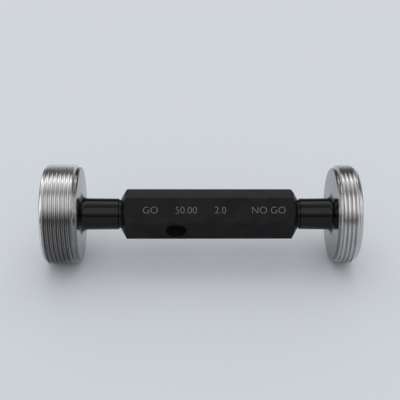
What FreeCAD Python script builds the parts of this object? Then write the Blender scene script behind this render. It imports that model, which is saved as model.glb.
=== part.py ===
"""Double-ended taper-lock thread plug gauge for an M50 x 2 internal thread.

The gauge stands on its GO end. Its axis is +Z, the origin is the centre of the GO member's
outer face, and the marked flat of the handle faces -Y. It is three pieces: a GO member, a
NOT GO member, and a hexagon handle whose two ends hold their taper shanks.
"""
import FreeCAD, Part
import math
import os
from collections.abc import Callable
from typing import Any

import Sketcher

# Driving dimensions, in millimetres and degrees: alias, value, what it is.
SIZES: tuple[tuple[str, float, str], ...] = (
    # Hexagon handle
    ("across_flats", 22.0, "hexagon bar, flat to flat"),
    ("bar_edge_radius", 0.3, "rounding along the bar's six edges"),
    ("handle_length", 88.0, "handle, end face to end face"),
    ("handle_face_diameter", 16.0, "end face left inside the conical chamfer"),
    ("handle_chamfer_angle", 30.0, "conical chamfer, measured from the end face"),
    ("pilot_diameter", 9.0, "straight bore that joins the two taper sockets"),
    ("drift_diameter", 10.0, "round hole across the handle for the ejecting drift"),
    ("drift_distance", 27.4, "drift hole's centre to the handle's GO end"),
    ("drift_face_turn", 60.0, "turn about the axis from the marked flat to the drift hole's"),
    ("drift_rim_chamfer", 0.3, "45 degree chamfer round the drift hole's two rims"),
    ("mouth_chamfer", 0.3, "45 degree chamfer at a socket's mouth"),
    # Self-holding taper joint, alike at both ends
    ("taper_rate", 0.02, "change of diameter per unit of length, 1:50"),
    ("shank_diameter", 14.4, "shank and socket at the handle's end face"),
    ("shank_gap", 1.0, "stretch of shank in the open between neck and handle"),
    ("socket_end_room", 3.0, "socket beyond the NOT GO shank's tip or beyond the drift hole"),
    ("shank_tip_chamfer", 0.8, "45 degree chamfer at a shank's tip"),
    ("drift_clearance", 0.4, "how far the GO shank's tip stays short of the drift hole"),
    ("no_go_engagement", 22.0, "length of the NOT GO shank inside its socket"),
    # Necks, alike at both ends
    ("neck_diameter", 15.6, "neck at its shoulder, beside the handle"),
    ("neck_shoulder_chamfer", 0.35, "45 degree chamfer at a neck's shoulder"),
    # Thread form that both heads share
    ("thread_pitch", 2.0, "axial distance from crest to crest"),
    ("thread_angle", 60.0, "angle between the flanks"),
    ("thread_bevel_angle", 50.0, "slope of the bevel where a thread ends at the inner land"),
    ("crest_clearance", 0.1, "how far the groove's section reaches past the crests"),
    ("head_edge_chamfer", 0.5, "45 degree chamfer round a head's two faces"),
    # GO member
    ("go_major_diameter", 50.02, "over the GO thread's crests"),
    ("go_effective_diameter", 48.72, "GO thread where groove and ridge are equally wide"),
    ("go_head_length", 18.0, "GO head, face to face"),
    ("go_outer_land", 1.1, "plain land beside the GO head's outer face"),
    ("go_outer_land_diameter", 46.9, "diameter of that land"),
    ("go_lead_angle", 58.0, "slope of the bevel from that land to the crests"),
    ("go_inner_land", 1.8, "plain land beside the GO head's inner face"),
    ("go_inner_land_diameter", 46.9, "diameter of that land"),
    ("go_neck_length", 19.0, "GO head's inner face to the neck's shoulder"),
    ("go_fillet_radius", 3.4, "concave fillet between GO head and neck"),
    ("go_thread_turn", 141.0, "turn of the GO member, and so of its thread's start"),
    # NOT GO member
    ("no_go_major_diameter", 49.35, "over the NOT GO thread's truncated crests"),
    ("no_go_effective_diameter", 48.95, "NOT GO thread where groove and ridge are equal"),
    ("no_go_head_length", 12.0, "NOT GO head, face to face"),
    ("no_go_outer_land", 0.6, "plain land beside the NOT GO head's outer face"),
    ("no_go_outer_land_diameter", 45.8, "diameter of that land"),
    ("no_go_lead_angle", 37.0, "slope of the bevel from that land to the crests"),
    ("no_go_inner_land", 1.3, "plain land beside the NOT GO head's inner face"),
    ("no_go_inner_land_diameter", 46.6, "diameter of that land"),
    ("no_go_neck_length", 16.5, "NOT GO head's inner face to the neck's shoulder"),
    ("no_go_fillet_radius", 2.6, "concave fillet between NOT GO head and neck"),
    ("no_go_thread_turn", 333.0, "turn of the NOT GO member, and so of its thread's start"),
    # Centre holes, for grinding between centres, in both ends of both members
    ("centre_diameter", 6.7, "centre hole's cone at the face"),
    ("centre_angle", 60.0, "centre hole's included angle"),
    ("centre_drill_diameter", 3.15, "drilled hole below the cone"),
    ("centre_drill_depth", 3.0, "straight length of that hole"),
    ("drill_point_angle", 118.0, "included angle of the drill's point"),
)

# Expressions that both the shanks and the sockets, or both members, are sized by.
CENTRE_RADIUS = "Sizes.centre_diameter / 2"
DRILL_RADIUS = "Sizes.centre_drill_diameter / 2"
CONE_DEPTH = ("(Sizes.centre_diameter - Sizes.centre_drill_diameter) / 2"
              " / tan(Sizes.centre_angle / 2 * 1 deg)")
DRILL_END = f"{CONE_DEPTH} + Sizes.centre_drill_depth"
DRILL_POINT = f"{DRILL_END} + {DRILL_RADIUS} / tan(Sizes.drill_point_angle / 2 * 1 deg)"
GO_ENGAGEMENT = "Sizes.drift_distance - Sizes.drift_diameter / 2 - Sizes.drift_clearance"
NO_GO_ENGAGEMENT = "Sizes.no_go_engagement"
HANDLE_START = "Sizes.go_head_length + Sizes.go_neck_length + Sizes.shank_gap"
NO_GO_FACE = (f"{HANDLE_START} + Sizes.handle_length + Sizes.shank_gap"
              " + Sizes.no_go_neck_length + Sizes.no_go_head_length")

Point = tuple[str, str]


def shank_radius(depth: str) -> str:
    """Expression for the taper's radius at a depth inside the handle's end face."""
    return f"(Sizes.shank_diameter - ({depth}) * Sizes.taper_rate) / 2"


def make_sheet(doc: Any) -> Any:
    """Fill the spreadsheet that every size of the model is bound to."""
    sheet = doc.addObject("Spreadsheet::Sheet", "Sizes")
    for row, (alias, value, meaning) in enumerate(SIZES, start=1):
        sheet.set(f"A{row}", alias)
        sheet.set(f"B{row}", str(value))
        sheet.set(f"C{row}", meaning)
        sheet.setAlias(f"B{row}", alias)
    doc.recompute()
    return sheet


def origin_plane(body: Any, role: str) -> Any:
    """One of a body's own origin planes, found by its role."""
    return next(item for item in body.Origin.OriginFeatures if item.Role == role)


def add_sketch(body: Any, name: str, role: str) -> Any:
    """Add an empty sketch that lies flat on one of the body's origin planes."""
    sketch = body.newObject("Sketcher::SketchObject", name)
    sketch.AttachmentSupport = [(origin_plane(body, role), "")]
    sketch.MapMode = "FlatFace"
    return sketch


def bind_distance(sketch: Any, kind: str, vertex: int, name: str, size: str) -> None:
    """Hold a vertex at a distance from the sketch's origin along one axis.

    Args:
        sketch: the sketch that owns the vertex.
        kind: DistanceX or DistanceY.
        vertex: the index of the line that starts at the vertex.
        name: the name that the constraint gets.
        size: the expression for the distance, or "0" for a vertex on the other axis.
    """
    if size == "0":
        axis = -2 if kind == "DistanceX" else -1
        sketch.addConstraint(Sketcher.Constraint("PointOnObject", vertex, 1, axis))
        return
    value = float(sketch.evalExpression(size))
    sketch.addConstraint(Sketcher.Constraint(kind, -1, 1, vertex, 1, value))
    sketch.renameConstraint(sketch.ConstraintCount - 1, name)
    sketch.setExpression(f"Constraints.{name}", size)


def half_section(body: Any, name: str, outline: dict[str, Point]) -> Any:
    """Draw a closed half section beside the axis, in the body's XZ plane.

    Args:
        body: the body that gets the sketch.
        name: the sketch's name.
        outline: the corner's name with its radius and height, as expressions, in order.
    """
    sketch = add_sketch(body, name, "XZ_Plane")
    corners = [
        FreeCAD.Vector(*(float(sketch.evalExpression(size)) for size in corner), 0)
        for corner in outline.values()
    ]
    count = len(corners)
    for index, corner in enumerate(corners):
        sketch.addGeometry(Part.LineSegment(corner, corners[(index + 1) % count]), False)
    for index in range(count):
        sketch.addConstraint(
            Sketcher.Constraint("Coincident", index, 2, (index + 1) % count, 1))
    for index, (corner_name, (radius, height)) in enumerate(outline.items()):
        bind_distance(sketch, "DistanceX", index, f"{corner_name}_radius", radius)
        bind_distance(sketch, "DistanceY", index, f"{corner_name}_height", height)
    return sketch


def turn(body: Any, kind: str, name: str, outline: dict[str, Point]) -> Any:
    """Revolve a half section a full turn about the axis.

    Args:
        body: the body that gets the feature.
        kind: Revolution to add material or Groove to take it away.
        name: the feature's name.
        outline: the half section, as half_section takes it.
    """
    sketch = half_section(body, f"{name}_section", outline)
    feature = body.newObject(f"PartDesign::{kind}", name)
    feature.Profile = sketch
    feature.ReferenceAxis = (sketch, ["V_Axis"])
    feature.Angle = 360
    body.Document.recompute()
    return feature


def edge_names(feature: Any, wanted: Callable[[Any], bool]) -> list[str]:
    """Names of a feature's edges that pass a test."""
    edges = enumerate(feature.Shape.Edges, start=1)
    return [f"Edge{number}" for number, edge in edges if wanted(edge)]


def dress(body: Any, kind: str, name: str, base: Any, edges: list[str], size: str) -> Any:
    """Add a Fillet or a Chamfer to edges of the feature below it."""
    feature = body.newObject(f"PartDesign::{kind}", name)
    feature.Base = (base, edges)
    feature.setExpression("Radius" if kind == "Fillet" else "Size", size)
    body.Document.recompute()
    return feature


def member_outline(end: str, engagement: str) -> dict[str, Point]:
    """Half section of a member's blank, from its outer face up to the shank's tip.

    Args:
        end: go or no_go, the first word of the sizes that differ between the members.
        engagement: expression for the shank's length inside the handle.
    """
    major = f"Sizes.{end}_major_diameter / 2"
    head = f"Sizes.{end}_head_length"
    outer_land = f"Sizes.{end}_outer_land_diameter / 2"
    inner_land = f"Sizes.{end}_inner_land_diameter / 2"
    shoulder = f"{head} + Sizes.{end}_neck_length"
    handle_end = f"{shoulder} + Sizes.shank_gap"
    tip = f"{handle_end} + {engagement}"
    lead_slope = f"tan(Sizes.{end}_lead_angle * 1 deg)"
    bevel_slope = "tan(Sizes.thread_bevel_angle * 1 deg)"
    neck = "Sizes.neck_diameter / 2"
    return {
        "centre_point": ("0", DRILL_POINT),
        "centre_bottom": (DRILL_RADIUS, DRILL_END),
        "centre_throat": (DRILL_RADIUS, CONE_DEPTH),
        "centre_mouth": (CENTRE_RADIUS, "0"),
        "outer_face_rim": (f"{outer_land} - Sizes.head_edge_chamfer", "0"),
        "outer_land_start": (outer_land, "Sizes.head_edge_chamfer"),
        "outer_land_end": (outer_land, f"Sizes.{end}_outer_land"),
        "thread_start": (
            major, f"Sizes.{end}_outer_land + ({major} - {outer_land}) / {lead_slope}"),
        "thread_end": (
            major,
            f"{head} - Sizes.{end}_inner_land - ({major} - {inner_land}) / {bevel_slope}"),
        "inner_land_start": (inner_land, f"{head} - Sizes.{end}_inner_land"),
        "inner_land_end": (inner_land, f"{head} - Sizes.head_edge_chamfer"),
        "inner_face_rim": (f"{inner_land} - Sizes.head_edge_chamfer", head),
        "neck_root": (f"{neck} + Sizes.{end}_neck_length * Sizes.taper_rate / 2", head),
        "neck_end": (neck, f"{shoulder} - Sizes.neck_shoulder_chamfer"),
        "shoulder_rim": (f"{neck} - Sizes.neck_shoulder_chamfer", shoulder),
        "shank_root": (shank_radius("-Sizes.shank_gap"), shoulder),
        "shank_end": (
            shank_radius(f"{engagement} - Sizes.shank_tip_chamfer"),
            f"{tip} - Sizes.shank_tip_chamfer"),
        "tip_rim": (f"{shank_radius(engagement)} - Sizes.shank_tip_chamfer", tip),
        "tip_centre_mouth": (CENTRE_RADIUS, tip),
        "tip_centre_throat": (DRILL_RADIUS, f"{tip} - ({CONE_DEPTH})"),
        "tip_centre_bottom": (DRILL_RADIUS, f"{tip} - ({DRILL_END})"),
        "tip_centre_point": ("0", f"{tip} - ({DRILL_POINT})"),
    }


def groove_outline(end: str) -> dict[str, Point]:
    """Section of the thread's groove where it starts, half a pitch before the thread.

    The flanks meet in a sharp root and are a quarter of a pitch from the groove's middle at
    the effective diameter. They run on past the crests, so that the cut comes out clean.
    """
    middle = f"Sizes.{end}_outer_land - Sizes.thread_pitch / 2"
    flank = "tan(Sizes.thread_angle / 2 * 1 deg)"
    effective = f"Sizes.{end}_effective_diameter / 2"
    beyond = f"Sizes.{end}_major_diameter / 2 + Sizes.crest_clearance"
    half_width = f"(Sizes.thread_pitch / 4 + ({beyond} - {effective}) * {flank})"
    return {
        "root": (f"{effective} - Sizes.thread_pitch / 4 / {flank}", middle),
        "clear_low": (beyond, f"{middle} - {half_width}"),
        "clear_high": (beyond, f"{middle} + {half_width}"),
    }


def cut_thread(body: Any, end: str) -> Any:
    """Cut the right-hand thread, a groove that follows a helix from land to land."""
    sketch = half_section(body, "thread_groove_section", groove_outline(end))
    groove = body.newObject("PartDesign::SubtractiveHelix", "thread_groove")
    groove.Profile = sketch
    groove.ReferenceAxis = (sketch, ["V_Axis"])
    groove.Mode = "pitch-height-angle"
    groove.LeftHanded = False
    groove.Reversed = False
    groove.setExpression("Pitch", "Sizes.thread_pitch")
    groove.setExpression(
        "Height",
        f"Sizes.{end}_head_length - Sizes.{end}_outer_land - Sizes.{end}_inner_land"
        " + Sizes.thread_pitch")
    body.Document.recompute()
    return groove


def make_member(doc: Any, sheet: Any, end: str, engagement: str) -> Any:
    """Build one gauging member, its outer face at the body's own origin, shank up.

    Args:
        doc: the document.
        sheet: the spreadsheet of sizes.
        end: go or no_go.
        engagement: expression for the shank's length inside the handle.
    """
    body = doc.addObject("PartDesign::Body", f"{end}_member")
    body.Label = f"{end}_member"
    blank = turn(body, "Revolution", "blank", member_outline(end, engagement))
    head_length = sheet.get(f"{end}_head_length")
    head_radius = sheet.get(f"{end}_inner_land_diameter") / 4

    def at_neck_root(edge: Any) -> bool:
        curve = edge.Curve
        is_ring = isinstance(curve, Part.Circle) and curve.Radius < head_radius
        return is_ring and math.isclose(curve.Center.z, head_length, abs_tol=1e-6)

    root = edge_names(blank, at_neck_root)
    dress(body, "Fillet", "neck_fillet", blank, root, f"Sizes.{end}_fillet_radius")
    body.Tip = cut_thread(body, end)
    return body


def draw_hexagon(body: Any) -> Any:
    """Sketch the bar's hexagon with a corner on the X axis, so that a flat faces -Y."""
    sketch = add_sketch(body, "bar_section", "XY_Plane")
    corner_radius = "Sizes.across_flats / 2 / cos(30 deg)"
    radius = float(sketch.evalExpression(corner_radius))
    sides = 6
    turns = [index * math.tau / sides for index in range(sides)]
    corners = [
        FreeCAD.Vector(radius * math.cos(angle), radius * math.sin(angle), 0)
        for angle in turns
    ]
    circle = Part.Circle(FreeCAD.Vector(), FreeCAD.Vector(0, 0, 1), radius)
    for index, corner in enumerate(corners):
        sketch.addGeometry(Part.LineSegment(corner, corners[(index + 1) % sides]), False)
    round_corners = sketch.addGeometry(circle, True)
    sketch.addConstraint(Sketcher.Constraint("Coincident", round_corners, 3, -1, 1))
    sketch.addConstraint(Sketcher.Constraint("Radius", round_corners, radius))
    sketch.renameConstraint(sketch.ConstraintCount - 1, "corner_radius")
    sketch.setExpression("Constraints.corner_radius", corner_radius)
    for index in range(sides):
        following = (index + 1) % sides
        sketch.addConstraint(Sketcher.Constraint("Coincident", index, 2, following, 1))
        sketch.addConstraint(Sketcher.Constraint("PointOnObject", index, 1, round_corners))
        if following:
            sketch.addConstraint(Sketcher.Constraint("Equal", index, following))
    sketch.addConstraint(Sketcher.Constraint("PointOnObject", 0, 1, -1))
    return sketch


def cone_outline(at_far_end: bool) -> dict[str, Point]:
    """Triangle that turns one end of the bar down to its conical chamfer."""
    face = "Sizes.handle_face_diameter / 2"
    clear = "Sizes.across_flats"
    depth = f"({clear} - {face}) * tan(Sizes.handle_chamfer_angle * 1 deg)"
    end = "Sizes.handle_length" if at_far_end else "0"
    inner = f"Sizes.handle_length - {depth}" if at_far_end else depth
    return {
        "face_rim": (face, end),
        "clear_rim": (clear, end),
        "clear_depth": (clear, inner),
    }


def socket_outline(engagement: str, room: str, at_far_end: bool) -> dict[str, Point]:
    """Half section of a taper socket, deeper than its shank by the room given."""
    depth = f"({engagement} + {room})"
    chamfer = "Sizes.mouth_chamfer"

    def height(inward: str) -> str:
        return f"Sizes.handle_length - {inward}" if at_far_end else inward

    face = "Sizes.handle_length" if at_far_end else "0"
    return {
        "face_centre": ("0", face),
        "mouth": (f"Sizes.shank_diameter / 2 + {chamfer}", face),
        "taper_start": (shank_radius(chamfer), height(chamfer)),
        "taper_end": (shank_radius(depth), height(depth)),
        "bottom_centre": ("0", height(depth)),
    }


def bore_drift_hole(body: Any, sheet: Any, base: Any) -> Any:
    """Bore the round hole across the handle, from flat to flat, and break its rims."""
    sketch = add_sketch(body, "drift_hole_circle", "XZ_Plane")
    turn_to_face = FreeCAD.Rotation(FreeCAD.Vector(0, 1, 0), sheet.get("drift_face_turn"))
    sketch.AttachmentOffset = FreeCAD.Placement(FreeCAD.Vector(), turn_to_face)
    sketch.setExpression("AttachmentOffset.Rotation.Angle", "Sizes.drift_face_turn")
    centre = FreeCAD.Vector(0, sheet.get("drift_distance"), 0)
    circle = Part.Circle(centre, FreeCAD.Vector(0, 0, 1), sheet.get("drift_diameter") / 2)
    sketch.addGeometry(circle, False)
    sketch.addConstraint(Sketcher.Constraint("PointOnObject", 0, 3, -2))
    sketch.addConstraint(Sketcher.Constraint("DistanceY", -1, 1, 0, 3, centre.y))
    sketch.renameConstraint(1, "distance")
    sketch.setExpression("Constraints.distance", "Sizes.drift_distance")
    sketch.addConstraint(Sketcher.Constraint("Diameter", 0, 2 * circle.Radius))
    sketch.renameConstraint(2, "diameter")
    sketch.setExpression("Constraints.diameter", "Sizes.drift_diameter")

    hole = body.newObject("PartDesign::Pocket", "drift_hole")
    hole.Profile = sketch
    hole.Type = "ThroughAll"
    hole.Midplane = True
    body.Document.recompute()
    if hole.Shape.Volume >= base.Shape.Volume:
        raise RuntimeError("the drift hole cut nothing")

    flat_distance = sheet.get("across_flats") / 2

    def is_rim(edge: Any) -> bool:
        if not isinstance(edge.Curve, Part.Circle):
            return False
        middle = edge.Curve.Center
        return math.isclose(math.hypot(middle.x, middle.y), flat_distance, abs_tol=1e-6)

    rims = edge_names(hole, is_rim)
    return dress(body, "Chamfer", "drift_rims", hole, rims, "Sizes.drift_rim_chamfer")


def make_handle(doc: Any, sheet: Any) -> Any:
    """Build the hexagon handle, its GO end at the body's own origin."""
    body = doc.addObject("PartDesign::Body", "handle")
    body.Label = "handle"
    bar = body.newObject("PartDesign::Pad", "bar")
    bar.Profile = draw_hexagon(body)
    bar.setExpression("Length", "Sizes.handle_length")
    doc.recompute()

    long_edges = edge_names(bar, lambda edge: abs(edge.tangentAt(edge.FirstParameter).z) > 0.5)
    dress(body, "Fillet", "bar_edges", bar, long_edges, "Sizes.bar_edge_radius")
    turn(body, "Groove", "go_end_cone", cone_outline(at_far_end=False))
    turn(body, "Groove", "no_go_end_cone", cone_outline(at_far_end=True))

    pilot_radius = "Sizes.pilot_diameter / 2"
    pilot = turn(body, "Groove", "pilot_bore", {
        "start_centre": ("0", "0"),
        "start": (pilot_radius, "0"),
        "end": (pilot_radius, "Sizes.handle_length"),
        "end_centre": ("0", "Sizes.handle_length"),
    })
    room = "Sizes.socket_end_room"
    beyond_drift = f"Sizes.drift_clearance + Sizes.drift_diameter + {room}"
    turn(body, "Groove", "go_socket",
         socket_outline(GO_ENGAGEMENT, beyond_drift, at_far_end=False))
    socket = turn(body, "Groove", "no_go_socket",
                  socket_outline(NO_GO_ENGAGEMENT, room, at_far_end=True))
    if socket.Shape.Volume >= pilot.Shape.Volume:
        raise RuntimeError("the sockets cut nothing")
    body.Tip = bore_drift_hole(body, sheet, socket)
    return body


def check(doc: Any, bodies: list[Any]) -> None:
    """Stop before anything is written if a feature failed or a body isn't one sound solid."""
    for item in doc.Objects:
        if "Invalid" in item.State or "Error" in item.State:
            raise RuntimeError(f"{item.Name} failed: {item.State}")
    for body in bodies:
        shape = body.Shape
        if shape.isNull() or not shape.isValid() or len(shape.Solids) != 1:
            raise RuntimeError(f"{body.Label} isn't one valid solid")


def main() -> None:
    """Build the document and write one STEP file for each piece."""
    doc = FreeCAD.newDocument("thread_plug_gauge")
    sheet = make_sheet(doc)

    axis = FreeCAD.Vector(0, 0, 1)
    end_over_end = FreeCAD.Rotation(FreeCAD.Vector(1, 0, 0), 180)

    go_member = make_member(doc, sheet, "go", GO_ENGAGEMENT)
    go_turn = FreeCAD.Rotation(axis, sheet.get("go_thread_turn"))
    go_member.Placement = FreeCAD.Placement(FreeCAD.Vector(), go_turn)
    handle = make_handle(doc, sheet)
    handle.setExpression("Placement.Base.z", HANDLE_START)
    no_go_member = make_member(doc, sheet, "no_go", NO_GO_ENGAGEMENT)
    no_go_turn = FreeCAD.Rotation(axis, sheet.get("no_go_thread_turn"))
    no_go_member.Placement = FreeCAD.Placement(FreeCAD.Vector(), no_go_turn * end_over_end)
    no_go_member.setExpression("Placement.Base.z", NO_GO_FACE)
    doc.recompute()

    bodies = [go_member, handle, no_go_member]
    check(doc, bodies)
    os.makedirs("parts", exist_ok=True)
    for body in bodies:
        body.Shape.exportStep(f"parts/{body.Label}.step")
        print(f"{body.Label}: {body.Shape.Volume:.1f} mm3, {len(body.Shape.Faces)} faces")


main()
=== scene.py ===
"""Looks of a double-ended thread plug gauge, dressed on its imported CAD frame.

The gauge stands on its GO end with its axis along +Z. Each member is one turned and ground
piece: a threaded head, a blackened neck and a taper shank. They sit in a blackened hexagon
handle that carries plain marks on one flat.
"""
import logging
import math
from collections.abc import Iterable, Mapping, Sequence
from dataclasses import dataclass
from enum import Enum
from typing import Any

import bmesh
import bpy
from mathutils import Matrix, Vector

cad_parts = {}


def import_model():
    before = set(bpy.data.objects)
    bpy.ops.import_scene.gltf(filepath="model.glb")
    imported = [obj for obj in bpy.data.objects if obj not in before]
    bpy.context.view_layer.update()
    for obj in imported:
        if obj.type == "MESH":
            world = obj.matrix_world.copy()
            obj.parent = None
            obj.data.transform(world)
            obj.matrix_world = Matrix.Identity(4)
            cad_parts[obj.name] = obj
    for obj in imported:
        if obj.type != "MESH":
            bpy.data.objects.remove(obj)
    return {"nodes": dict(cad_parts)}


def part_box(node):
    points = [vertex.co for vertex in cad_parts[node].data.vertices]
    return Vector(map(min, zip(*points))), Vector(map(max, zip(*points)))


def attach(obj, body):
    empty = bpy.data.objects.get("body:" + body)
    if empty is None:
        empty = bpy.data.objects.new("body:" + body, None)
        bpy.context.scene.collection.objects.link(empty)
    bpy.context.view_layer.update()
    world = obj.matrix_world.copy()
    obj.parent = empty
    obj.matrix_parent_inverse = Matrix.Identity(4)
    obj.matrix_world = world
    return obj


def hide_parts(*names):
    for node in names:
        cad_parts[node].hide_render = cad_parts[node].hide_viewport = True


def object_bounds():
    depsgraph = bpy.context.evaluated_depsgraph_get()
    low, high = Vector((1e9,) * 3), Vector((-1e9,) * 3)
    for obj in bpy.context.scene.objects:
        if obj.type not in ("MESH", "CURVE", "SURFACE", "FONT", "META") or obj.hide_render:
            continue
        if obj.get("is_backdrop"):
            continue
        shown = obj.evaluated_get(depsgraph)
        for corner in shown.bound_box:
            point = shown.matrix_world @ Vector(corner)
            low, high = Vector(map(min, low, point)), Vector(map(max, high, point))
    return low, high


MM = 0.001
WELD = 1e-6
GROOVE_DEPTH = "groove_depth"

log = logging.getLogger("gauge")

Stop = tuple[float, float]
Profile = list[tuple[float, float]]

RISE: tuple[Stop, Stop] = ((0.0, 0.0), (1.0, 1.0))


# --- Node trees -----------------------------------------------------------------------------


class Value:
    """A node's output socket that adds Math nodes when it is used in an expression."""

    def __init__(self, graph: "Graph", socket: bpy.types.NodeSocket) -> None:
        """Wrap one socket of a node in the graph."""
        self.graph = graph
        self.socket = socket

    def __add__(self, other: "Number") -> "Value":
        """This value plus another."""
        return self.graph.math("ADD", self, other)

    def __sub__(self, other: "Number") -> "Value":
        """This value minus another."""
        return self.graph.math("SUBTRACT", self, other)

    def __mul__(self, other: "Number") -> "Value":
        """This value times another."""
        return self.graph.math("MULTIPLY", self, other)

    def __truediv__(self, other: "Number") -> "Value":
        """This value over another."""
        return self.graph.math("DIVIDE", self, other)

    def __rsub__(self, other: "Number") -> "Value":
        """Another value minus this one."""
        return self.graph.math("SUBTRACT", other, self)

    def __rtruediv__(self, other: "Number") -> "Value":
        """Another value over this one."""
        return self.graph.math("DIVIDE", other, self)

    __radd__ = __add__
    __rmul__ = __mul__


Number = Value | float
Colour = Value | Sequence[float]


class Graph:
    """Adds nodes to one shader or geometry node tree."""

    def __init__(self, tree: bpy.types.NodeTree) -> None:
        """Start adding to a tree."""
        self.tree = tree

    def node(
        self,
        kind: str,
        settings: Mapping[str, Any] | None = None,
        inputs: Mapping[str | int, Any] | None = None,
    ) -> bpy.types.Node:
        """Add a node.

        Args:
            kind: the node's Blender type name.
            settings: properties that are set first; "stops" fills a ramp with
                (position, colour) pairs.
            inputs: value, or linked Value or socket, for each input by name or number.

        Returns:
            The new node.
        """
        node = self.tree.nodes.new(kind)
        for name, value in (settings or {}).items():
            if name == "stops":
                self._fill_ramp(node.color_ramp, value)
            else:
                setattr(node, name, value)
        for key, value in (inputs or {}).items():
            if isinstance(value, Value):
                value = value.socket
            if isinstance(value, bpy.types.NodeSocket):
                self.tree.links.new(value, node.inputs[key])
            else:
                node.inputs[key].default_value = value
        return node

    @staticmethod
    def _fill_ramp(ramp: bpy.types.ColorRamp, stops: Iterable[Stop]) -> None:
        """Give a ramp its stops.

        Args:
            ramp: a ramp that still has its first two stops.
            stops: (position, grey level) pairs in order.
        """
        stops = list(stops)
        while len(ramp.elements) < len(stops):
            ramp.elements.new(1.0)
        for element, (position, level) in zip(ramp.elements, stops):
            element.position = position
            element.color = (level, level, level, 1.0)

    def value(
        self,
        kind: str,
        settings: Mapping[str, Any] | None = None,
        inputs: Mapping[str | int, Any] | None = None,
        output: str | int = 0,
    ) -> Value:
        """Add a node and return one of its outputs; the arguments are those of node()."""
        return Value(self, self.node(kind, settings, inputs).outputs[output])

    def math(self, operation: str, *operands: Number) -> Value:
        """Add a Math node for one operation on its operands, in order."""
        return self.value("ShaderNodeMath", {"operation": operation}, dict(enumerate(operands)))

    def least(self, *operands: Number) -> Value:
        """Find the smallest of two or more values.

        Args:
            operands: the values to compare.

        Returns:
            The smallest of them.
        """
        result = operands[0]
        for operand in operands[1:]:
            result = self.math("MINIMUM", result, operand)
        return result

    def combine(self, x: Number, y: Number, z: Number) -> Value:
        """A vector from its three parts."""
        return self.value("ShaderNodeCombineXYZ", None, {0: x, 1: y, 2: z})

    def split(self, vector: Value | bpy.types.NodeSocket) -> tuple[Value, Value, Value]:
        """Take a vector apart.

        Args:
            vector: the vector, or the socket that gives it.

        Returns:
            Its three parts.
        """
        node = self.node("ShaderNodeSeparateXYZ", None, {0: vector})
        x, y, z = (Value(self, socket) for socket in node.outputs)
        return x, y, z

    def ramp(self, factor: Number, stops: Iterable[Stop]) -> Value:
        """A grey level that follows a factor through (position, level) stops."""
        return self.value("ShaderNodeValToRGB", {"stops": stops}, {"Fac": factor})

    def noise(self, place: Value, scale: float, detail: float = 2.0) -> Value:
        """Smooth noise from 0 to 1 at a place."""
        inputs = {"Vector": place, "Scale": scale, "Detail": detail}
        return self.value("ShaderNodeTexNoise", None, inputs)


# --- Finishes -------------------------------------------------------------------------------


def shader_graph(name: str) -> tuple[bpy.types.Material, Graph, Value, bpy.types.Node]:
    """Start a material.

    Args:
        name: the material's name.

    Returns:
        The material, its graph, the place on the piece in metres, and its Principled node.
    """
    material = bpy.data.materials.new(name)
    material.use_nodes = True
    graph = Graph(material.node_tree)
    place = graph.value("ShaderNodeTexCoord", output="Object")
    return material, graph, place, material.node_tree.nodes["Principled BSDF"]


def wire(graph: Graph, shader: bpy.types.Node, inputs: Mapping[str, Any]) -> None:
    """Set or link a shader's inputs.

    Args:
        graph: the material's graph.
        shader: the shader node.
        inputs: a plain value, or a Value to link, for each input by name.
    """
    for name, value in inputs.items():
        if isinstance(value, Value):
            graph.tree.links.new(value.socket, shader.inputs[name])
        else:
            shader.inputs[name].default_value = value


def tint(graph: Graph, factor: Number, dark: Colour, light: Colour) -> Value:
    """Mix two colours.

    Args:
        graph: the material's graph.
        factor: the share of the second colour.
        dark: the first colour.
        light: the second colour.

    Returns:
        The mixed colour.
    """
    ends = [end if isinstance(end, Value) else (*end, 1.0) for end in (dark, light)]
    return graph.value("ShaderNodeMix", {"data_type": "RGBA"},
                       {"Factor": factor, 6: ends[0], 7: ends[1]}, 2)


def bump(graph: Graph, height: Number, strength: float, depth: float) -> Value:
    """A normal that follows a height field of the given depth in metres."""
    return graph.value("ShaderNodeBump", None,
                       {"Strength": strength, "Distance": depth, "Height": height})


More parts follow.
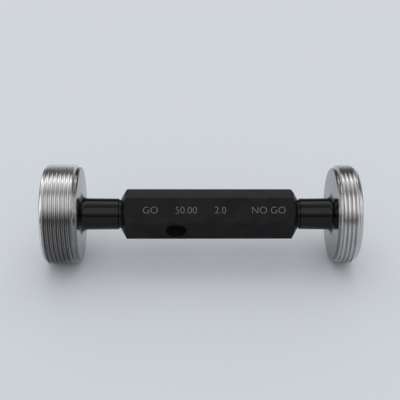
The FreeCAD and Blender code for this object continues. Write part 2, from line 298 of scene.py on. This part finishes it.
@dataclass(frozen=True)
class GroundSteel:
    """Bright steel with fine grinding lines that run round the gauge's axis.

    With a groove colour, painted shade darkens a thread's steel towards it between two depths
    of its groove.
    """

    TURNS_OF_NOISE = 3.0
    LINE_LEAN = 0.73
    BLOTCH_SCALE = 90.0
    LINE_SHARE = 0.65
    TONE_STOPS = ((0.3, 0.0), (0.7, 1.0))
    BUMP_STRENGTH = 0.5

    name: str
    dark: tuple[float, float, float]
    light: tuple[float, float, float]
    roughness: float
    roughness_spread: float
    line_pitch: float
    relief: float
    # Colour of the painted shade in the thread roots, and the groove depths where it starts and
    # where it is full.
    groove: tuple[float, float, float] | None = None
    groove_shade_start: float = 0.3 * MM
    groove_shade_end: float = 1.0 * MM

    def make(self) -> bpy.types.Material:
        """Build the material.

        Returns:
            The new material.
        """
        material, graph, place, shader = shader_graph(self.name)
        x, y, z = graph.split(place)
        radius = graph.math("SQRT", x * x + y * y)
        per_line = 1.0 / self.line_pitch
        across = graph.combine(
            x / radius * self.TURNS_OF_NOISE, y / radius * self.TURNS_OF_NOISE,
            (z + radius * self.LINE_LEAN) * per_line)
        lines = graph.noise(across, scale=1.0, detail=3.0)
        blotches = graph.noise(place, self.BLOTCH_SCALE)
        tone = lines * self.LINE_SHARE + blotches * (1.0 - self.LINE_SHARE)
        colour = tint(graph, graph.ramp(tone, self.TONE_STOPS), self.dark, self.light)
        # Painted shade: the roots darken towards the groove colour from the first depth of the
        # groove to the second.
        if self.groove:
            depth = graph.value("ShaderNodeAttribute", {"attribute_name": GROOVE_DEPTH},
                                output="Fac")
            span = self.groove_shade_end - self.groove_shade_start
            shade = graph.ramp((depth - self.groove_shade_start) / span, RISE)
            colour = tint(graph, shade, colour, self.groove)
        wire(graph, shader, {
            "Base Color": colour,
            "Metallic": 1.0,
            "Roughness": self.roughness + (tone - 0.5) * self.roughness_spread,
            "Normal": bump(graph, lines, self.BUMP_STRENGTH, self.relief),
        })
        return material


@dataclass(frozen=True)
class BlackOxide:
    """Blackened steel, from glossy on a polished neck to satin on drawn bar.

    With an edge distance, which lies a little short of the flats' distance from the axis, a
    hexagon bar's edges are rubbed in places.
    """

    CLOUD_SCALE = 130.0
    CLOUD_STOPS = ((0.35, 0.0), (0.75, 1.0))
    GRAIN_SPREAD = 0.12
    BUMP_STRENGTH = 0.4
    RUB_SCALE = 700.0
    RUB_LEVEL = 0.62
    RUB_CONTRAST = 4.0
    WEAR_WIDTH = 0.12 * MM

    name: str
    colour: tuple[float, float, float]
    worn: tuple[float, float, float]
    roughness: float
    specular: float
    grain_pitch: float
    relief: float
    edge_distance: float = 0.0
    bare: tuple[float, float, float] = (0.05, 0.05, 0.052)

    def edge_wear(self, graph: Graph, place: Value) -> Value:
        """How far the finish is rubbed off along the six edges of a hexagon bar.

        Args:
            graph: the material's graph.
            place: the place on the bar, whose flats face -Y and every 60 degrees round.

        Returns:
            Zero where the finish is whole, and one where it is gone.
        """
        x, y, _ = graph.split(place)
        cosine, sine = math.cos(math.radians(30)), 0.5
        flats = [graph.math("ABSOLUTE", flat)
                 for flat in (y, x * cosine + y * sine, x * cosine - y * sine)]
        # The second largest of the three distances is high only near an edge.
        larger = graph.math("MAXIMUM", flats[0], flats[1])
        second = graph.math("MAXIMUM", graph.least(flats[0], flats[1]),
                            graph.least(larger, flats[2]))
        rub = graph.noise(place, self.RUB_SCALE, detail=3.0)
        rub = (rub - self.RUB_LEVEL) * self.RUB_CONTRAST
        near = (second - self.edge_distance) / self.WEAR_WIDTH
        return graph.ramp(near + rub, RISE)

    def make(self) -> bpy.types.Material:
        """Build the material.

        Returns:
            The new material.
        """
        material, graph, place, shader = shader_graph(self.name)
        grain = graph.noise(place, 1.0 / self.grain_pitch, detail=3.0)
        cloud = graph.noise(place, self.CLOUD_SCALE, detail=3.0)
        colour = tint(graph, graph.ramp(cloud, self.CLOUD_STOPS), self.colour, self.worn)
        if self.edge_distance:
            colour = tint(graph, self.edge_wear(graph, place), colour, self.bare)
        wire(graph, shader, {
            "Base Color": colour,
            "Metallic": 0.0,
            "Specular IOR Level": self.specular,
            "Roughness": self.roughness + (grain - 0.5) * self.GRAIN_SPREAD,
            "Normal": bump(graph, grain, self.BUMP_STRENGTH, self.relief),
        })
        return material


@dataclass(frozen=True)
class PlainPaint:
    """Matt grey paint of the marks, with a fine speckle."""

    SPECKLE_SCALE = 9000.0
    SPECKLE_SHADE = 0.75

    name: str
    colour: tuple[float, float, float]
    roughness: float = 0.6

    def make(self) -> bpy.types.Material:
        """Build the material.

        Returns:
            The new material.
        """
        material, graph, place, shader = shader_graph(self.name)
        speckle = graph.noise(place, self.SPECKLE_SCALE)
        shaded = [part * self.SPECKLE_SHADE for part in self.colour]
        wire(graph, shader, {
            "Base Color": tint(graph, speckle, shaded, self.colour),
            "Roughness": self.roughness,
        })
        return material


class Finish(Enum):
    """The gauge's finishes."""

    # The groove colours of the two thread finishes are painted shade in the thread roots.
    GO_THREAD = GroundSteel(
        "ground_thread_go", dark=(0.64, 0.635, 0.64), light=(0.78, 0.77, 0.76),
        roughness=0.19, roughness_spread=0.1, line_pitch=0.16 * MM, relief=0.002 * MM,
        groove=(0.28, 0.275, 0.275), groove_shade_start=0.75 * MM, groove_shade_end=1.28 * MM)
    NO_GO_THREAD = GroundSteel(
        "ground_thread_no_go", dark=(0.47, 0.465, 0.47), light=(0.59, 0.58, 0.57),
        roughness=0.18, roughness_spread=0.1, line_pitch=0.16 * MM, relief=0.002 * MM,
        groove=(0.07, 0.068, 0.068), groove_shade_start=0.3 * MM, groove_shade_end=0.8 * MM)
    FACE = GroundSteel(
        "lapped_face", dark=(0.19, 0.19, 0.193), light=(0.24, 0.237, 0.235),
        roughness=0.15, roughness_spread=0.1, line_pitch=0.22 * MM, relief=0.001 * MM)
    NECK = BlackOxide(
        "glossy_black_oxide", colour=(0.001, 0.001, 0.0012), worn=(0.003, 0.0028, 0.0028),
        roughness=0.06, specular=0.26, grain_pitch=0.4 * MM, relief=0.0005 * MM)
    BAR = BlackOxide(
        "satin_black_oxide", colour=(0.006, 0.006, 0.0063), worn=(0.012, 0.0116, 0.0116),
        roughness=0.32, specular=0.08, grain_pitch=0.3 * MM, relief=0.003 * MM,
        edge_distance=10.9 * MM)
    MARK = PlainPaint("mark_grey", colour=(0.25, 0.25, 0.258))

    def material(self) -> bpy.types.Material:
        """The finish's material, built the first time that it is asked for."""
        return bpy.data.materials.get(self.value.name) or self.value.make()


# --- Meshes ---------------------------------------------------------------------------------


def add_object(name: str, data: bpy.types.Mesh | bpy.types.Curve) -> bpy.types.Object:
    """Put an object in the scene at the origin.

    Args:
        name: the object's name.
        data: its mesh or text curve.

    Returns:
        The new object.
    """
    piece = bpy.data.objects.new(name, data)
    bpy.context.scene.collection.objects.link(piece)
    return piece


def arc(centre: tuple[float, float], radius: float, start: float, end: float,
        steps: int) -> Profile:
    """Set points along an arc in the half section.

    Args:
        centre: the arc's centre.
        radius: its radius.
        start: its first angle in degrees.
        end: its last angle in degrees.
        steps: the number of equal steps between them.

    Returns:
        The points, ends included.
    """
    turns = [math.radians(start + (end - start) * step / steps) for step in range(steps + 1)]
    return [(centre[0] + radius * math.cos(turn), centre[1] + radius * math.sin(turn))
            for turn in turns]


def ring(mesh: bmesh.types.BMesh, radius: float, height: float,
         columns: int) -> list[bmesh.types.BMVert]:
    """Add a ring of vertices round the axis.

    Args:
        mesh: the mesh that gets the vertices.
        radius: the ring's radius; at zero the ring is one vertex on the axis.
        height: the ring's height.
        columns: the number of places round the axis.

    Returns:
        The vertex at each place.
    """
    if radius < WELD:
        return [mesh.verts.new((0.0, 0.0, height))] * columns
    turns = [math.tau * column / columns for column in range(columns)]
    return [mesh.verts.new((radius * math.cos(turn), radius * math.sin(turn), height))
            for turn in turns]


def lathe(mesh: bmesh.types.BMesh, profile: Profile, columns: int, slot: int) -> None:
    """Turn a half section into faces.

    Args:
        mesh: the mesh that gets the faces.
        profile: (radius, height) points, with the solid on their left.
        columns: faces round the axis.
        slot: the faces' material slot.
    """
    below = ring(mesh, *profile[0], columns)
    for radius, height in profile[1:]:
        above = ring(mesh, radius, height, columns)
        for column in range(columns):
            following = (column + 1) % columns
            corners = [below[column], below[following], above[following], above[column]]
            unique = list(dict.fromkeys(corners))
            if len(unique) > 2:
                mesh.faces.new(unique).material_index = slot
        below = above


def count_open_edges(mesh: bmesh.types.BMesh) -> int:
    """Number of edges that don't join exactly two faces."""
    return sum(1 for edge in mesh.edges if len(edge.link_faces) != 2)


# --- The gauge's pieces ---------------------------------------------------------------------


@dataclass(frozen=True)
class ThreadForm:
    """Sizes of a head's thread, in metres and degrees.

    Its groove starts some turns ahead of the thread, which are its run-out.
    """

    major: float
    effective: float
    root: float
    head_length: float
    outer_land: float
    outer_land_radius: float
    lead_angle: float
    inner_land: float
    inner_land_radius: float
    finish: Finish
    bevel_angle: float = 50.0
    pitch: float = 2.0 * MM
    flank_angle: float = 30.0
    rounding: float = 0.03 * MM
    run_out: float = 1.5

    @property
    def turns(self) -> int:
        """Whole turns of groove that cover the thread from land to land, with run-out."""
        length = self.head_length - self.outer_land - self.inner_land
        return math.ceil(length / self.pitch + self.run_out)


class ThreadedHeadTree:
    """Geometry Nodes tree that lays a sheet of faces along a helical thread."""

    NAME = "threaded_head"
    LENGTHS = ("Pitch", "Major", "Effective", "Root", "Rounding", "Start", "End",
               "Outer Land Radius", "Lead Slope", "Inner Land Radius", "Bevel Slope",
               "Flank Slope", "Run Out")
    COUNTS = ("Turns", "Columns", "Rows")
    CROWDING = 0.6

    def __init__(self) -> None:
        """Build the tree with its named inputs."""
        self.tree = bpy.data.node_groups.new(self.NAME, "GeometryNodeTree")
        self.tree.is_modifier = True
        face = self.tree.interface
        for name in self.LENGTHS:
            face.new_socket(name, in_out="INPUT", socket_type="NodeSocketFloat")
        for name in self.COUNTS:
            face.new_socket(name, in_out="INPUT", socket_type="NodeSocketInt")
        face.new_socket("Finish", in_out="INPUT", socket_type="NodeSocketMaterial")
        face.new_socket("Geometry", in_out="OUTPUT", socket_type="NodeSocketGeometry")
        self.graph = Graph(self.tree)
        entry = self.graph.node("NodeGroupInput")
        self.given = {socket.name: Value(self.graph, socket) for socket in entry.outputs
                      if socket.name}
        self._wire()

    def _wire(self) -> None:
        """Wire a unit grid to its places along the thread."""
        graph, given = self.graph, self.given
        columns, rows = given["Columns"] + 1.0, given["Rows"] * given["Turns"] + 1.0
        grid = graph.value("GeometryNodeMeshGrid", None,
                           {"Size X": 1.0, "Size Y": 1.0, "Vertices X": columns,
                            "Vertices Y": rows})
        across, along, _ = graph.split(graph.value("GeometryNodeInputPosition"))
        turn = across + 0.5
        pitches = (along + 0.5) * given["Turns"]
        # Rows crowd together at the root and at the crest.
        twice_round = 2 * math.tau
        crowding = graph.math("SINE", pitches * twice_round) * (-self.CROWDING / twice_round)
        pitches = pitches + crowding
        raw = given["Start"] + (turn + pitches - given["Run Out"]) * given["Pitch"]
        height = graph.math("MAXIMUM", graph.math("MINIMUM", raw, given["End"]),
                            given["Start"])
        from_root = graph.math("ABSOLUTE", pitches - graph.math("ROUND", pitches))
        # The flanks cross the effective diameter a quarter of a pitch from the root.
        offset = from_root * given["Pitch"] - given["Pitch"] * 0.25
        flank = given["Effective"] + offset * given["Flank Slope"]
        thread = graph.math("SMOOTH_MIN", flank, given["Major"], given["Rounding"])
        thread = graph.math("SMOOTH_MAX", thread, given["Root"], given["Rounding"])
        lead = given["Outer Land Radius"] + (height - given["Start"]) * given["Lead Slope"]
        bevel = given["Inner Land Radius"] + (given["End"] - height) * given["Bevel Slope"]
        blank = graph.least(given["Major"], lead, bevel)
        radius = graph.least(thread, lead, bevel)
        angle = turn * math.tau
        place = graph.combine(graph.math("COSINE", angle) * radius,
                              graph.math("SINE", angle) * radius, height)
        moved = graph.value("GeometryNodeSetPosition", None,
                            {"Geometry": grid, "Position": place})
        marked = graph.value("GeometryNodeStoreNamedAttribute",
                             {"data_type": "FLOAT", "domain": "POINT"},
                             {"Geometry": moved, "Name": GROOVE_DEPTH,
                              "Value": blank - radius})
        welded = graph.value("GeometryNodeMergeByDistance", None,
                             {"Geometry": marked, "Distance": WELD})
        real = graph.value("GeometryNodeRealizeInstances", None, {"Geometry": welded})
        dressed = graph.value("GeometryNodeSetMaterial", None,
                              {"Geometry": real, "Material": given["Finish"]})
        graph.node("NodeGroupOutput", None, {"Geometry": dressed})

    def mesh(self, form: ThreadForm, columns: int, rows: int) -> bpy.types.Mesh:
        """Evaluate the tree for one head.

        Args:
            form: the thread's sizes.
            columns: faces round the head.
            rows: faces along one pitch.

        Returns:
            A plain mesh of the thread from land to land, open at both ends.
        """
        def slope(degrees: float) -> float:
            """Rise over run at an angle in degrees."""
            return math.tan(math.radians(degrees))

        settings = {
            "Pitch": form.pitch, "Major": form.major, "Effective": form.effective,
            "Root": form.root, "Rounding": form.rounding, "Start": form.outer_land,
            "End": form.head_length - form.inner_land,
            "Outer Land Radius": form.outer_land_radius,
            "Lead Slope": slope(form.lead_angle),
            "Inner Land Radius": form.inner_land_radius,
            "Bevel Slope": slope(form.bevel_angle),
            "Flank Slope": 1.0 / slope(form.flank_angle), "Run Out": form.run_out,
            "Turns": form.turns, "Columns": columns, "Rows": rows,
            "Finish": form.finish.material(),
        }
        carrier = add_object("head_carrier", bpy.data.meshes.new("head_carrier"))
        modifier = carrier.modifiers.new("thread", "NODES")
        modifier.node_group = self.tree
        for socket in self.tree.interface.items_tree:
            if socket.in_out == "INPUT":
                modifier[socket.identifier] = settings[socket.name]
        depsgraph = bpy.context.evaluated_depsgraph_get()
        result = bpy.data.meshes.new_from_object(carrier.evaluated_get(depsgraph))
        carrier.modifiers.remove(modifier)
        bpy.data.objects.remove(carrier)
        return result


@dataclass
class Member:
    """A gauging member: threaded head, blackened neck and taper shank, in its own frame.

    The outer face lies at height zero and the shank points up.
    """

    node: str
    form: ThreadForm
    neck_length: float
    fillet: float
    shank_reach: float
    placement: Matrix
    neck_radius: float = 7.8 * MM
    shank_radius: float = 7.2 * MM
    taper: float = 0.01
    edge: float = 0.5 * MM
    shoulder_edge: float = 0.35 * MM
    shank_gap: float = 1.0 * MM
    tip_edge: float = 0.8 * MM
    centre_radius: float = 3.35 * MM
    drill_radius: float = 1.575 * MM
    drill_length: float = 3.0 * MM
    centre_half_angle: float = 30.0
    drill_half_angle: float = 59.0
    fillet_steps: int = 14
    sharp_angle: float = 28.0
    columns: int = 256
    rows: int = 18

    STEEL, FACE, OXIDE = range(3)

    def centre_hole(self) -> Profile:
        """Lay out a centre hole.

        Returns:
            Its half section, from the drill's point out to the mouth at height zero.
        """
        widening = math.tan(math.radians(self.centre_half_angle))
        cone = (self.centre_radius - self.drill_radius) / widening
        end = cone + self.drill_length
        point = end + self.drill_radius / math.tan(math.radians(self.drill_half_angle))
        return [(0.0, point), (self.drill_radius, end), (self.drill_radius, cone),
                (self.centre_radius, 0.0)]

    def outer_end(self) -> Profile:
        """Lay out the outer end.

        Returns:
            The half section from the outer centre hole to the start of the thread.
        """
        land = self.form.outer_land_radius
        return [*self.centre_hole(), (land - self.edge, 0.0), (land, self.edge),
                (land, self.form.outer_land)]

    def inner_face(self) -> Profile:
        """Lay out the inner face.

        Returns:
            The half section from the end of the thread across the face to the fillet.
        """
        form, land = self.form, self.form.inner_land_radius
        return [(land, form.head_length - form.inner_land),
                (land, form.head_length - self.edge),
                (land - self.edge, form.head_length),
                (self.fillet_centre[0], form.head_length)]

    @property
    def fillet_centre(self) -> tuple[float, float]:
        """Place the fillet's arc.

        Returns:
            The arc's centre in the half section.
        """
        lean = math.atan(self.taper)
        height = self.form.head_length + self.fillet
        at_height = self.neck_radius + (self.neck_length - self.fillet) * self.taper
        return at_height + self.fillet / math.cos(lean), height

    def neck(self) -> Profile:
        """Lay out the neck and the shank.

        Returns:
            The half section from the foot of the fillet to the centre hole in the tip.
        """
        head, shoulder = self.form.head_length, self.form.head_length + self.neck_length
        tip = shoulder + self.shank_reach
        start = self.shank_radius + self.shank_gap * self.taper
        end = start - (self.shank_reach - self.tip_edge) * self.taper
        lean = math.degrees(math.atan(self.taper))
        mouth = [(radius, tip - depth) for radius, depth in reversed(self.centre_hole())]
        foot = arc(self.fillet_centre, self.fillet, 270.0, 180.0 + lean, self.fillet_steps)
        return [*foot,
                (self.neck_radius, shoulder - self.shoulder_edge),
                (self.neck_radius - self.shoulder_edge, shoulder), (start, shoulder),
                (end, tip - self.tip_edge), (end - self.tip_edge, tip), *mouth]

    def build(self, tree: ThreadedHeadTree) -> bpy.types.Object:
        """Build and dress the member, and have it stand for its CAD node.

        Args:
            tree: the Geometry Nodes tree for the threaded head.

        Returns:
            The dressed piece, in the row frame.
        """
        mesh = bmesh.new()
        mesh.from_mesh(tree.mesh(self.form, self.columns, self.rows))
        for face in mesh.faces:
            face.material_index = self.STEEL
        lathe(mesh, self.outer_end(), self.columns, self.STEEL)
        lathe(mesh, self.inner_face(), self.columns, self.FACE)
        lathe(mesh, self.neck(), self.columns, self.OXIDE)
        bmesh.ops.remove_doubles(mesh, verts=mesh.verts, dist=WELD)
        for face in mesh.faces:
            face.smooth = True
        count = count_open_edges(mesh)
        data = bpy.data.meshes.new(f"{self.node}_dressed")
        mesh.to_mesh(data)
        mesh.free()
        data.transform(self.placement)
        for finish in (self.form.finish, Finish.FACE, Finish.NECK):
            data.materials.append(finish.material())
        data.set_sharp_from_angle(angle=math.radians(self.sharp_angle))
        piece = add_object(f"{self.node}_dressed", data)
        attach(piece, "root")
        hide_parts(self.node)
        log.info("%s: %d faces, %d open edges", piece.name, len(data.polygons), count)
        return piece


@dataclass
class Handle:
    """The hexagon handle, which keeps its CAD form, and the marks on its flat.

    A mark is a thin plate in the shape of its letters, centred at its distance in millimetres
    from the handle's GO end.
    """

    MARKS = (("GO", 14.7), ("50.00", 32.3), ("2.0", 49.2), ("NO GO", 73.0))
    CAPITAL_SHARE = 0.7
    WELD_SHARE = 0.1

    node: bpy.types.Object
    start: float
    flat: float = -11.0 * MM
    mark_height: float = 3.5 * MM
    mark_lift: float = 0.015 * MM
    stroke_thinning: float = 0.15 * MM

    def build(self) -> list[bpy.types.Object]:
        """Dress the bar and add its marks.

        Returns:
            The marks' pieces.
        """
        self.node.data.materials.clear()
        self.node.data.materials.append(Finish.BAR.material())
        return [self.mark(text, distance * MM) for text, distance in self.MARKS]

    def mark(self, text: str, distance: float) -> bpy.types.Object:
        """Put one mark on the flat.

        Args:
            text: the mark's letters or figures.
            distance: the mark's middle, from the handle's GO end.

        Returns:
            The mark's piece.
        """
        name = "mark_" + "".join(part for part in text.lower() if part.isalnum())
        curve = bpy.data.curves.new(name, "FONT")
        curve.body = text
        curve.size = self.mark_height / self.CAPITAL_SHARE
        curve.offset = -self.stroke_thinning
        curve.extrude = self.mark_lift / 2
        curve.align_x, curve.align_y = "CENTER", "CENTER"
        words = add_object(f"{name}_text", curve)
        depsgraph = bpy.context.evaluated_depsgraph_get()
        data = bpy.data.meshes.new_from_object(words.evaluated_get(depsgraph))
        bpy.data.objects.remove(words)
        # Letters run along +Z and stand up towards -X, on the flat that faces -Y.
        columns = (Vector((0, 0, 1)), Vector((-1, 0, 0)), Vector((0, -1, 0)))
        data.transform(Matrix(columns).transposed().to_4x4())
        data.transform(Matrix.Translation(
            (0.0, self.flat - self.mark_lift, self.start + distance)))
        plate = bmesh.new()
        plate.from_mesh(data)
        weld = self.mark_lift * self.WELD_SHARE
        bmesh.ops.remove_doubles(plate, verts=plate.verts, dist=weld)
        bmesh.ops.recalc_face_normals(plate, faces=plate.faces)
        count = count_open_edges(plate)
        plate.to_mesh(data)
        plate.free()
        data.materials.clear()
        data.materials.append(Finish.MARK.material())
        piece = add_object(name, data)
        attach(piece, "root")
        log.info("%s: %d faces, %d open edges", name, len(data.polygons), count)
        return piece


# --- The studio -----------------------------------------------------------------------------


@dataclass(frozen=True)
class Studio:
    """Camera, pale floor and soft light, all set out beside the standing gauge.

    The camera looks across the gauge, whose axis points to the camera's right. The floor is
    a plane along the axis that both heads touch. The light comes in bands along the axis.
    Each band has an angle in degrees round the axis, from the floor on the viewer's side at
    0 over the top at 90 to the floor on the far side at 180, and a strength.
    """

    LOWEST_ANGLE = -60.0
    ANGLE_SPAN = 240.0
    GLOSSY_BANDS = (
        (-60, 0.3), (0, 0.66), (7, 0.31), (14, 0.13), (21, 0.55), (28, 0.69), (35, 1.17),
        (42, 1.42), (49, 1.43), (56, 1.37), (63, 1.38), (70, 1.23), (78, 0.53), (85, 0.45),
        (93, 0.88), (102, 0.89), (110, 1.05), (114, 2.2), (119, 2.2), (123, 0.95),
        (131, 1.12), (139, 0.12), (147, 0.06), (155, 0.08), (161, 0.14), (168, 0.27),
        (180, 0.6))
    SOFT_BANDS = ((0, 1.0), (36, 0.9), (84, 0.8), (144, 1.0), (180, 1.3))
    SIDE_FALL = (1.3, 0.9)

    swing: float = 9.5
    yaw: float = 1.2
    elevation: float = 28.0
    distance: float = 425.0 * MM
    lens: float = 75.81
    aim_height: float = 77.36 * MM
    aim_rise: float = 7.0 * MM
    sensor: float = 36.0
    nearest: float = 0.01
    furthest: float = 20.0
    head_radius: float = 25.01 * MM
    floor_size: float = 4.0
    floor_colour: tuple[float, float, float, float] = (0.60, 0.625, 0.66, 1.0)
    light_colour: tuple[float, float, float, float] = (0.98, 0.99, 1.0, 1.0)
    fill: float = 1.1
    backdrop: float = 0.66

    @property
    def back(self) -> Vector:
        """Direction from the gauge to the camera, before the yaw."""
        swing = math.radians(self.swing)
        return Vector((math.sin(swing), -math.cos(swing), 0.0))

    @property
    def view_up(self) -> Vector:
        """Upwards in the camera's view, before the yaw."""
        return self.back.cross(Vector((0.0, 0.0, 1.0)))

    @property
    def floor_normal(self) -> Vector:
        """Upwards from the floor."""
        tilt = math.radians(self.elevation)
        return self.view_up * math.cos(tilt) + self.back * math.sin(tilt)

    @property
    def towards_viewer(self) -> Vector:
        """Along the floor towards the camera."""
        tilt = math.radians(self.elevation)
        return self.back * math.cos(tilt) - self.view_up * math.sin(tilt)

    def add_camera(self) -> None:
        """Place the scene's camera."""
        yaw, axis = math.radians(self.yaw), Vector((0.0, 0.0, 1.0))
        right = axis * math.cos(yaw) + self.back * math.sin(yaw)
        back = self.back * math.cos(yaw) - axis * math.sin(yaw)
        up = back.cross(right)
        data = bpy.data.cameras.new("camera")
        data.lens, data.sensor_width = self.lens, self.sensor
        data.clip_start, data.clip_end = self.nearest, self.furthest
        camera = bpy.data.objects.new("camera", data)
        target = axis * self.aim_height + up * self.aim_rise
        place = Matrix.Translation(target + back * self.distance)
        camera.matrix_world = place @ Matrix((right, up, back)).transposed().to_4x4()
        bpy.context.scene.collection.objects.link(camera)
        bpy.context.scene.camera = camera

    def add_floor(self, middle: float) -> None:
        """Lay the floor that the heads touch; it shows only from its upper side.

        Args:
            middle: height of the gauge's middle on its axis.
        """
        normal, near = self.floor_normal, self.towards_viewer
        axis = Vector((0.0, 0.0, 1.0))
        centre = axis * middle - normal * self.head_radius
        half = self.floor_size / 2
        corners = [centre + near * (half * forward) + axis * (half * rightward)
                   for forward, rightward in ((1, -1), (1, 1), (-1, 1), (-1, -1))]
        data = bpy.data.meshes.new("floor")
        data.from_pydata([tuple(corner) for corner in corners], [], [(0, 1, 2, 3)])
        data.materials.append(self.floor_finish())
        add_object("floor", data)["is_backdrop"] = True

    def floor_finish(self) -> bpy.types.Material:
        """Build pale matt paper whose underside is clear.

        Returns:
            The floor's material.
        """
        material, graph, _, shader = shader_graph("floor_paper")
        wire(graph, shader, {"Base Color": self.floor_colour, "Roughness": 0.7,
                             "Specular IOR Level": 0.2})
        clear = graph.value("ShaderNodeBsdfTransparent")
        underside = graph.value("ShaderNodeNewGeometry", output="Backfacing")
        mixed = graph.value("ShaderNodeMixShader", None,
                            {0: underside, 1: shader.outputs[0], 2: clear})
        output = material.node_tree.nodes["Material Output"]
        material.node_tree.links.new(mixed.socket, output.inputs["Surface"])
        return material

    def light(self) -> None:
        """Surround the gauge with soft bands of light that run along its axis.

        Glossy rays meet bands of their own, and camera rays meet a plain backdrop.
        """
        world = bpy.data.worlds.new("studio")
        bpy.context.scene.world = world
        world.use_nodes = True
        graph = Graph(world.node_tree)
        direction = graph.value("ShaderNodeTexCoord", output="Generated")
        rays = graph.node("ShaderNodeLightPath")

        def along(axis: Vector) -> Value:
            """How far the light's direction goes along an axis."""
            return graph.value("ShaderNodeVectorMath", {"operation": "DOT_PRODUCT"},
                               {0: direction, 1: tuple(axis)}, "Value")

        turn = graph.math("ARCTAN2", along(self.floor_normal), along(self.towards_viewer))
        share = (turn * (180.0 / math.pi) - self.LOWEST_ANGLE) / self.ANGLE_SPAN

        def bands(stops: Iterable[Stop], strongest: float) -> Value:
            """Strength of the light by its angle, through (angle, strength) stops."""
            levels = [((angle - self.LOWEST_ANGLE) / self.ANGLE_SPAN, strength / strongest)
                      for angle, strength in stops]
            return strongest * graph.ramp(share, levels)

        def choose(ray: str, otherwise: Number, level: Number) -> Value:
            """One strength for a kind of ray, and another for all others."""
            return graph.value("ShaderNodeMix", {"data_type": "FLOAT"},
                               {0: rays.outputs[ray], 2: otherwise, 3: level})

        mirrored = bands(self.GLOSSY_BANDS, max(level for _, level in self.GLOSSY_BANDS))
        sideways = along(self.floor_normal.cross(self.towards_viewer))
        middle, fall = self.SIDE_FALL
        soft = self.fill * bands(self.SOFT_BANDS, 1.0) * (middle - fall * sideways * sideways)
        strength = choose("Is Glossy Ray", soft, mirrored)
        strength = choose("Is Camera Ray", strength, self.backdrop)
        background = world.node_tree.nodes["Background"]
        background.inputs["Color"].default_value = self.light_colour
        world.node_tree.links.new(strength.socket, background.inputs["Strength"])


# --- Assembly -------------------------------------------------------------------------------


def members() -> list[Member]:
    """Size and place the two members from the frame.

    Returns:
        The GO member and the NOT GO member.
    """
    handle_low, handle_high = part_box("handle")
    go_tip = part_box("go_member")[1].z
    no_go_low, no_go_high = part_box("no_go_member")
    go_neck, no_go_neck = 19.0 * MM, 16.5 * MM
    go_shoulder = handle_low.z - Member.shank_gap
    no_go_shoulder = handle_high.z + Member.shank_gap
    go_form = ThreadForm(
        major=25.01 * MM, effective=24.36 * MM, root=23.7 * MM,
        head_length=go_shoulder - go_neck, outer_land=1.1 * MM,
        outer_land_radius=23.65 * MM, lead_angle=58.0, inner_land=1.8 * MM,
        inner_land_radius=23.6 * MM, finish=Finish.GO_THREAD)
    no_go_form = ThreadForm(
        major=24.675 * MM, effective=24.475 * MM, root=23.7 * MM,
        head_length=no_go_high.z - no_go_shoulder - no_go_neck, outer_land=0.6 * MM,
        outer_land_radius=22.9 * MM, lead_angle=37.0, inner_land=1.3 * MM,
        inner_land_radius=23.3 * MM, finish=Finish.NO_GO_THREAD)
    go_turn = Matrix.Rotation(math.radians(141.0), 4, "Z")
    no_go_turn = Matrix.Rotation(math.radians(333.0), 4, "Z")
    end_over_end = Matrix.Rotation(math.pi, 4, "X")
    lift = Matrix.Translation((0.0, 0.0, no_go_high.z))
    return [
        Member(node="go_member", form=go_form, neck_length=go_neck, fillet=3.4 * MM,
               shank_reach=go_tip - go_shoulder, placement=go_turn),
        Member(node="no_go_member", form=no_go_form, neck_length=no_go_neck,
               fillet=2.6 * MM, shank_reach=no_go_shoulder - no_go_low.z,
               placement=lift @ no_go_turn @ end_over_end),
    ]


def plain_box() -> dict[str, list[float]]:
    """Measure the shown object.

    Returns:
        Its lowest and highest corners as plain lists.
    """
    low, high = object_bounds()
    return {"low": list(low), "high": list(high)}


def main() -> None:
    """Build every piece, the studio and the record of the sizes."""
    logging.basicConfig(level=logging.INFO, format="%(message)s")
    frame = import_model()
    sizes = {"cad": plain_box()}
    bpy.context.scene.view_settings.view_transform = "Standard"
    tree = ThreadedHeadTree()
    for member in members():
        member.build(tree)
    Handle(frame["nodes"]["handle"], start=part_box("handle")[0].z).build()
    studio = Studio()
    studio.add_camera()
    studio.add_floor((sizes["cad"]["low"][2] + sizes["cad"]["high"][2]) / 2)
    studio.light()
    sizes["dressed"] = plain_box()


if __name__ == "__main__":
    main()
